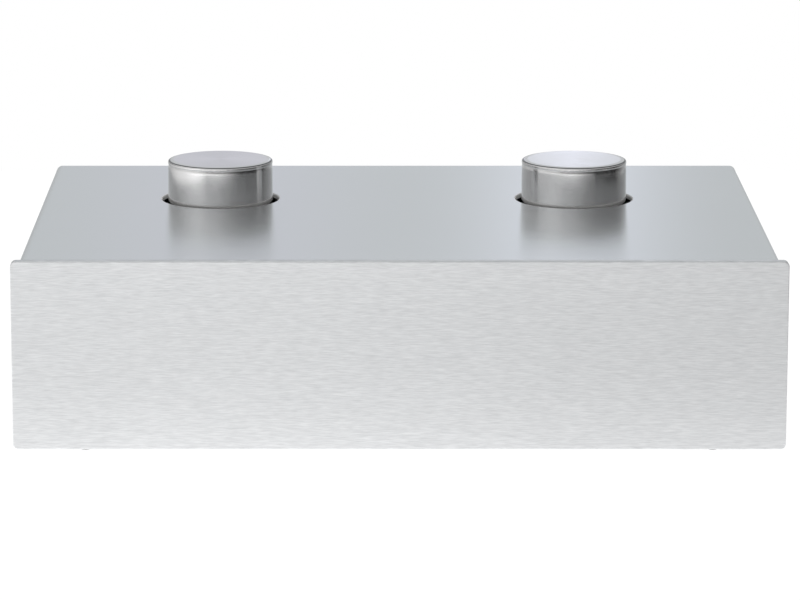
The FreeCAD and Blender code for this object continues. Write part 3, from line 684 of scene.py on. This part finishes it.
def dress_nodes():
    """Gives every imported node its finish, by the longest start of its name that has one."""
    gold = plated("gold_plate", (0.95, 0.68, 0.28), 0.16)
    nickel = plated("nickel_plate", (0.74, 0.72, 0.68), 0.18)
    steel = plated("plated_steel", (0.62, 0.62, 0.62), 0.26)
    brass = plated("turned_brass", (0.82, 0.62, 0.28), 0.26)
    copper = plated("enamelled_copper", (0.70, 0.30, 0.13), 0.3)
    holes = [(side * can_x, can_y, can_radius + hole_reach) for side in (-1, 1)]
    finishes = {
        "front_panel": brushed_panel(),
        "top_cover": satin_sheet("satin_cover", (0.80, 0.825, 0.84), holes),
        "base_tray": satin_sheet("satin_tray", (0.76, 0.775, 0.785)),
        "panel_screws": steel,
        "cover_screws": steel,
        "board_screws": steel,
        "transformer_screws": steel,
        "foot": moulded("black_rubber", (0.022, 0.022, 0.024), 0.62, 1600.0),
        "main_board": moulded("solder_mask", (0.01, 0.10, 0.035), 0.32, 1200.0),
        "board_standoffs": brass,
        "load_resistors": moulded("resistor_body", (0.33, 0.55, 0.62), 0.4),
        "terminal_pins": brass,
        "terminal_base": moulded("phenolic", (0.12, 0.045, 0.018), 0.4),
        "transformer_can": drawn_can(),
        "transformer_core": plated("laminations", (0.40, 0.40, 0.42), 0.36),
        "bobbin": moulded("nylon", (0.78, 0.74, 0.62), 0.42),
        "primary_winding": copper,
        "secondary_winding": copper,
        "phono_shell": gold,
        "phono_insulator": moulded("white_insulator", (0.82, 0.82, 0.80), 0.38),
        "phono_contacts": gold,
        "phono_nuts": gold,
        "phono_rings_left": moulded("white_ring", (0.80, 0.80, 0.78), 0.35),
        "phono_rings_right": moulded("red_ring", (0.52, 0.012, 0.012), 0.32),
        "balanced_shell": nickel,
        "balanced_inserts": moulded("black_insert", (0.018, 0.018, 0.02), 0.4),
        "balanced_pins": gold,
        "balanced_nuts": nickel,
        "toggle_housing": moulded("black_housing", (0.02, 0.02, 0.022), 0.5),
        "toggle_bushing": nickel,
        "toggle_lever": nickel,
        "toggle_lugs": brass,
        "toggle_nuts": nickel,
        "ground_post": gold,
        "ground_bushes": moulded("black_bush", (0.018, 0.018, 0.02), 0.4),
        "ground_nut": nickel,
        "clamp_washer": gold,
        "thumb_nut": gold,
        "input_leads": moulded("black_jacket", (0.03, 0.03, 0.034), 0.5),
        "output_leads": moulded("grey_jacket", (0.12, 0.12, 0.13), 0.5),
        "switch_leads": moulded("blue_jacket", (0.03, 0.07, 0.22), 0.5),
    }
    for name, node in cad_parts.items():
        prefix = max((key for key in finishes if name.startswith(key)), key=len)
        node.data.materials.clear()
        node.data.materials.append(finishes[prefix])
    return finishes


def camera():
    """The photograph's own view: from the front, a little above, with a long lens."""
    place, dip = (-8.6 * MM, -1175.5 * MM, 274.73 * MM), math.radians(11.89)
    data = bpy.data.cameras.new("camera")
    data.sensor_width = 36.0
    data.lens = 189.99
    data.shift_x = 0.041
    made = bpy.data.objects.new("camera", data)
    bpy.context.scene.collection.objects.link(made)
    made.location = place
    made.rotation_euler = (math.radians(90) - dip, 0, 0)
    bpy.context.scene.camera = made


# What polished metal sees round the box, by bearing in degrees: from the back by the left to the front,
# which is nought, and on by the right. The table has its own tones, the low ones lie beyond it, and each
# of the others takes over higher up. The narrow stops next to the back are what the two lids mirror.
back_tone, behind_tone, low_back_tone = (0.59, 0.61, 0.62), (0.62, 0.64, 0.65), (0.52, 0.535, 0.54)
left_top_tone, right_top_tone = (0.70, 0.69, 0.79), (1.16, 1.19, 1.33)
from_back = [(-180, behind_tone), (-178, left_top_tone), (-176, back_tone)]
to_back = [
    (172, behind_tone), (176.2, low_back_tone), (176.5, right_top_tone), (177.8, right_top_tone),
    (178.1, low_back_tone), (180, behind_tone),
]
table_tones = [
    (-180, 0.68), (-130, 0.70), (-75, 0.80), (-45, 0.90), (0, 0.75), (45, 0.51), (75, 0.43), (115, 0.42),
    (160, 0.60), (180, 0.68),
]
low_tones = [
    (-180, back_tone), (-140, 0.5), (-112, 0.85), (-79, 1.1), (-46, 1.8), (-17, 2.3), (0, 2.0), (28, 0.8),
    (46, 0.05), (98, 0.02), (125, 0.25), (170, back_tone), (180, back_tone),
]
middle_tones = from_back + [
    (-150, 0.35), (-112, 0.3), (-80, 0.8), (-48, 0.6), (-20, 0.06), (0, 0.03), (50, 0.02), (110, 0.02),
    (150, 0.3),
] + to_back
cover_tones = from_back + [
    (-150, 0.35), (-112, 0.05), (-80, 0.03), (-48, 0.38), (-17, 0.4), (0, 0.3), (30, 0.05), (50, 0.02),
    (110, 0.02), (150, 0.3),
] + to_back
upper_tones = [
    (-180, back_tone), (-120, 0.8), (-60, 0.95), (-20, 0.8), (30, 0.6), (75, 0.45), (120, 0.5),
    (180, back_tone),
]

# Where each belt of tones starts and where it has taken over, in degrees above the horizon.
belts = ((-3, 2, middle_tones), (7, 9, cover_tones), (13, 17, upper_tones))


def bearing_ramp(finish, x, y, tones):
    """The tones that go with the bearing of a place from the middle, each blended into the next."""
    bearing = finish.node("ShaderNodeMath", {"operation": "ARCTAN2"}, {0: x, 1: 0.0 - y})
    stops = [(degrees / 360.0 + 0.5, tone) for degrees, tone in tones]
    return finish.ramp(bearing * (0.5 / math.pi) + 0.5, stops)


def mirrored_table(finish):
    """The table as metal sees it: darker away from the window side, and brightest just before the box."""
    x, y, _ = finish.axes(finish.object_place())
    bright, per_metre, at_middle = (1.95, 1.95, 1.95, 1.0), 5.5, 1.05
    before_box = [(0.0, 0.0), (0.5, 0.5), (0.62, 0.5), (1.0, 0.0)]
    close = finish.ramp(y * per_metre + at_middle, before_box)
    return finish.blend(close, bearing_ramp(finish, x, y, table_tones), bright)


def floor():
    """A table that the camera sees white, that metal sees in tones, and that light falls on as matt white."""
    half = 0.36
    bpy.ops.mesh.primitive_plane_add(size=2 * half, location=(0, 0, 0))
    made = bpy.context.object
    made.name = "floor"
    material = bpy.data.materials.new("white_floor")
    material.use_nodes = True
    finish = Finish(material.node_tree)
    finish.tree.nodes.clear()
    path = finish.node("ShaderNodeLightPath", {}, {}, "Is Camera Ray")
    glossy = Value(finish, path.socket.node.outputs["Is Glossy Ray"])
    through = Value(finish, path.socket.node.outputs["Is Transmission Ray"])
    seen = path + glossy + through
    glow = finish.blend(glossy, (0.985, 0.985, 0.985, 1.0), mirrored_table(finish))
    white = finish.node("ShaderNodeEmission", {}, {"Color": glow, "Strength": seen})
    tone = finish.blend(seen, (0.8, 0.8, 0.8, 1.0), (0.10, 0.10, 0.10, 1.0))
    matt = finish.node("ShaderNodeBsdfDiffuse", {}, {"Color": tone})
    both = finish.node("ShaderNodeAddShader", {}, {0: white, 1: matt})
    finish.node("ShaderNodeOutputMaterial", {}, {"Surface": both})
    made.data.materials.append(material)


def studio():
    """White all round for the camera. Everything else sees soft lamps and dark flags round the box."""
    world = bpy.data.worlds.new("studio")
    bpy.context.scene.world = world
    world.use_nodes = True
    finish = Finish(world.node_tree)
    finish.tree.nodes.clear()
    x, y, z = finish.axes(finish.node("ShaderNodeTexCoord", {}, {}, "Generated"))
    height = finish.node("ShaderNodeMath", {"operation": "ARCSINE"}, {0: z})
    rise = height * (1.0 / math.pi) + 0.5
    lamp = bearing_ramp(finish, x, y, low_tones)
    for start, end, tones in belts:
        share = finish.ramp(rise, [(start / 180.0 + 0.5, 0.0), (end / 180.0 + 0.5, 1.0)])
        lamp = finish.blend(share, lamp, bearing_ramp(finish, x, y, tones))
    camera_ray = finish.node("ShaderNodeLightPath", {}, {}, "Is Camera Ray")
    tone = finish.blend(camera_ray, lamp, (1.0, 1.0, 1.0, 1.0))
    light = finish.node("ShaderNodeBackground", {}, {"Color": tone, "Strength": 1.0})
    finish.node("ShaderNodeOutputWorld", {}, {"Surface": light})


camera()
finishes = dress_nodes()
transformer_cans(finishes["transformer_can"])
thumb_nut(finishes["thumb_nut"])
ground_post(finishes["ground_post"])
toggle_bushings(finishes["toggle_bushing"])
phono_contacts(finishes["phono_contacts"])
windings(finishes["primary_winding"])
rear_legend(moulded("black_ink", (0.02, 0.02, 0.022), 0.5))
floor()
studio()

bpy.context.scene.view_settings.view_transform = "Standard"
